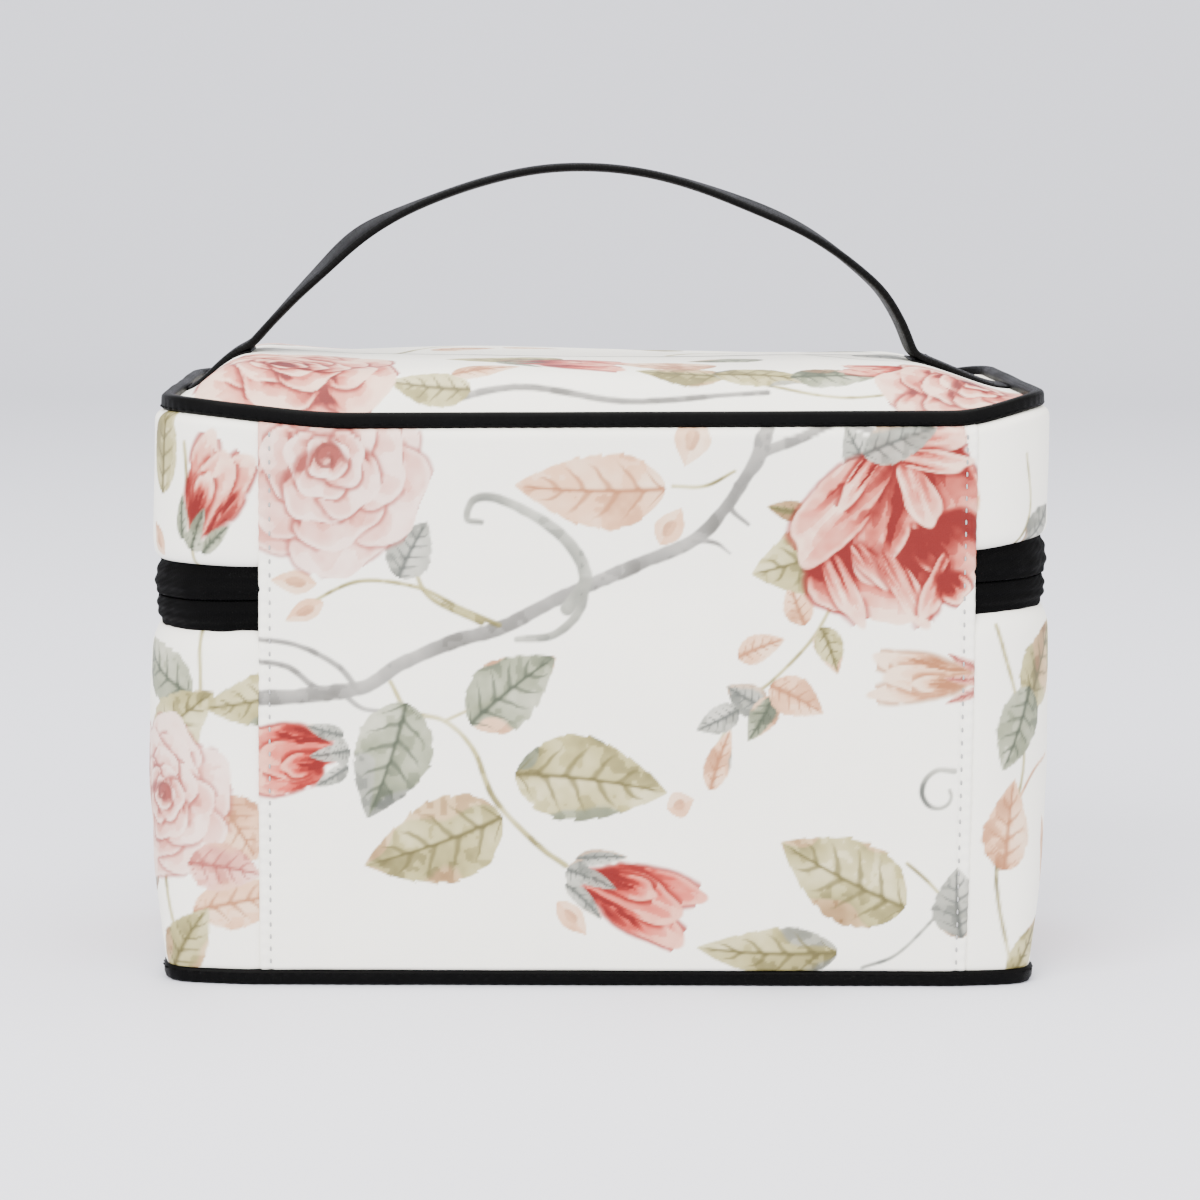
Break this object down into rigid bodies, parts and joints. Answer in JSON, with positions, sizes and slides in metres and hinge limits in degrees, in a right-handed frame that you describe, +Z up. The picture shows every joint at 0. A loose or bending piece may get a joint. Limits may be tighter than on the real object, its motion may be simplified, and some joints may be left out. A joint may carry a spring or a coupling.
{
  "type": "makeup bag",
  "caption": "Padded vanity case of printed fabric with a domed zip-round lid that hinges on the back panel, black bindings and a strap handle on top.",
  "frame": {"origin": "centre of the underside, on the surface that the bag stands on", "axes": "+Z up, +X along the bag's width, +Y towards the front where the zip sliders meet; the hinged back panel faces -Y"},
  "size_m": [0.254, 0.154, 0.2293],
  "materials": {
    "printed_fabric": "coated cloth, white with a watercolour rose print",
    "black_binding": "smooth black binding tape",
    "lining": "black taffeta lining",
    "foam": "white foam padding",
    "board": "white stiffener board",
    "stitch_thread": "pale grey thread",
    "zip_tape": "woven black zip tape",
    "zip_coil": "black nylon coil",
    "zip_metal": "black enamelled zip slider and pull tab",
    "handle_webbing": "black flat strap, woven with bound edges"
  },
  "bodies": {
    "base": {"base_board": "board", "base_pad": "foam", "bottom_panel": "printed_fabric", "bottom_binding": "black_binding", "base_lining": "lining", "lower_wall_wrap": "printed_fabric", "lower_wall_foam": "foam", "lower_back_panel": "printed_fabric", "lower_back_foam": "foam", "lower_back_stitches": "stitch_thread", "lower_zip_tape": "zip_tape", "lower_zip_coil": "zip_coil"},
    "lid": {"top_panel": "printed_fabric", "top_foam": "foam", "top_binding": "black_binding", "lid_lining": "lining", "upper_wall_wrap": "printed_fabric", "upper_wall_foam": "foam", "upper_back_panel": "printed_fabric", "upper_back_foam": "foam", "upper_back_stitches": "stitch_thread", "upper_zip_tape": "zip_tape", "upper_zip_coil": "zip_coil", "handle_end_left": "handle_webbing", "handle_end_right": "handle_webbing"},
    "handle": {"handle_strap": "handle_webbing"},
    "slider_left": {"zip_slider_left": "zip_metal"},
    "puller_left": {"zip_puller_left": "zip_metal"},
    "slider_right": {"zip_slider_right": "zip_metal"},
    "puller_right": {"zip_puller_right": "zip_metal"}
  },
  "joints": [
    {"name": "lid_hinge", "type": "hinge", "parent": "base", "child": "lid", "pos_m": [0, -0.0744, 0.112], "axis": [1, 0, 0], "range_deg": [0, 110]},
    {"name": "handle_flop", "type": "hinge", "parent": "lid", "child": "handle", "pos_m": [0, 0, 0.1846], "axis": [1, 0, 0], "range_deg": [-85, 85]},
    {"name": "slider_left_run", "type": "slide", "parent": "base", "child": "slider_left", "axis": [-1, 0, 0], "range_m": [0, 0.085]},
    {"name": "puller_left_turn", "type": "hinge", "parent": "slider_left", "child": "puller_left", "pos_m": [-0.009, 0.07635, 0.112], "axis": [0, 0, -1], "range_deg": [0, 150]},
    {"name": "slider_right_run", "type": "slide", "parent": "base", "child": "slider_right", "axis": [1, 0, 0], "range_m": [0, 0.085]},
    {"name": "puller_right_turn", "type": "hinge", "parent": "slider_right", "child": "puller_right", "pos_m": [0.009, 0.07635, 0.112], "axis": [0, 0, 1], "range_deg": [0, 150]}
  ]
}
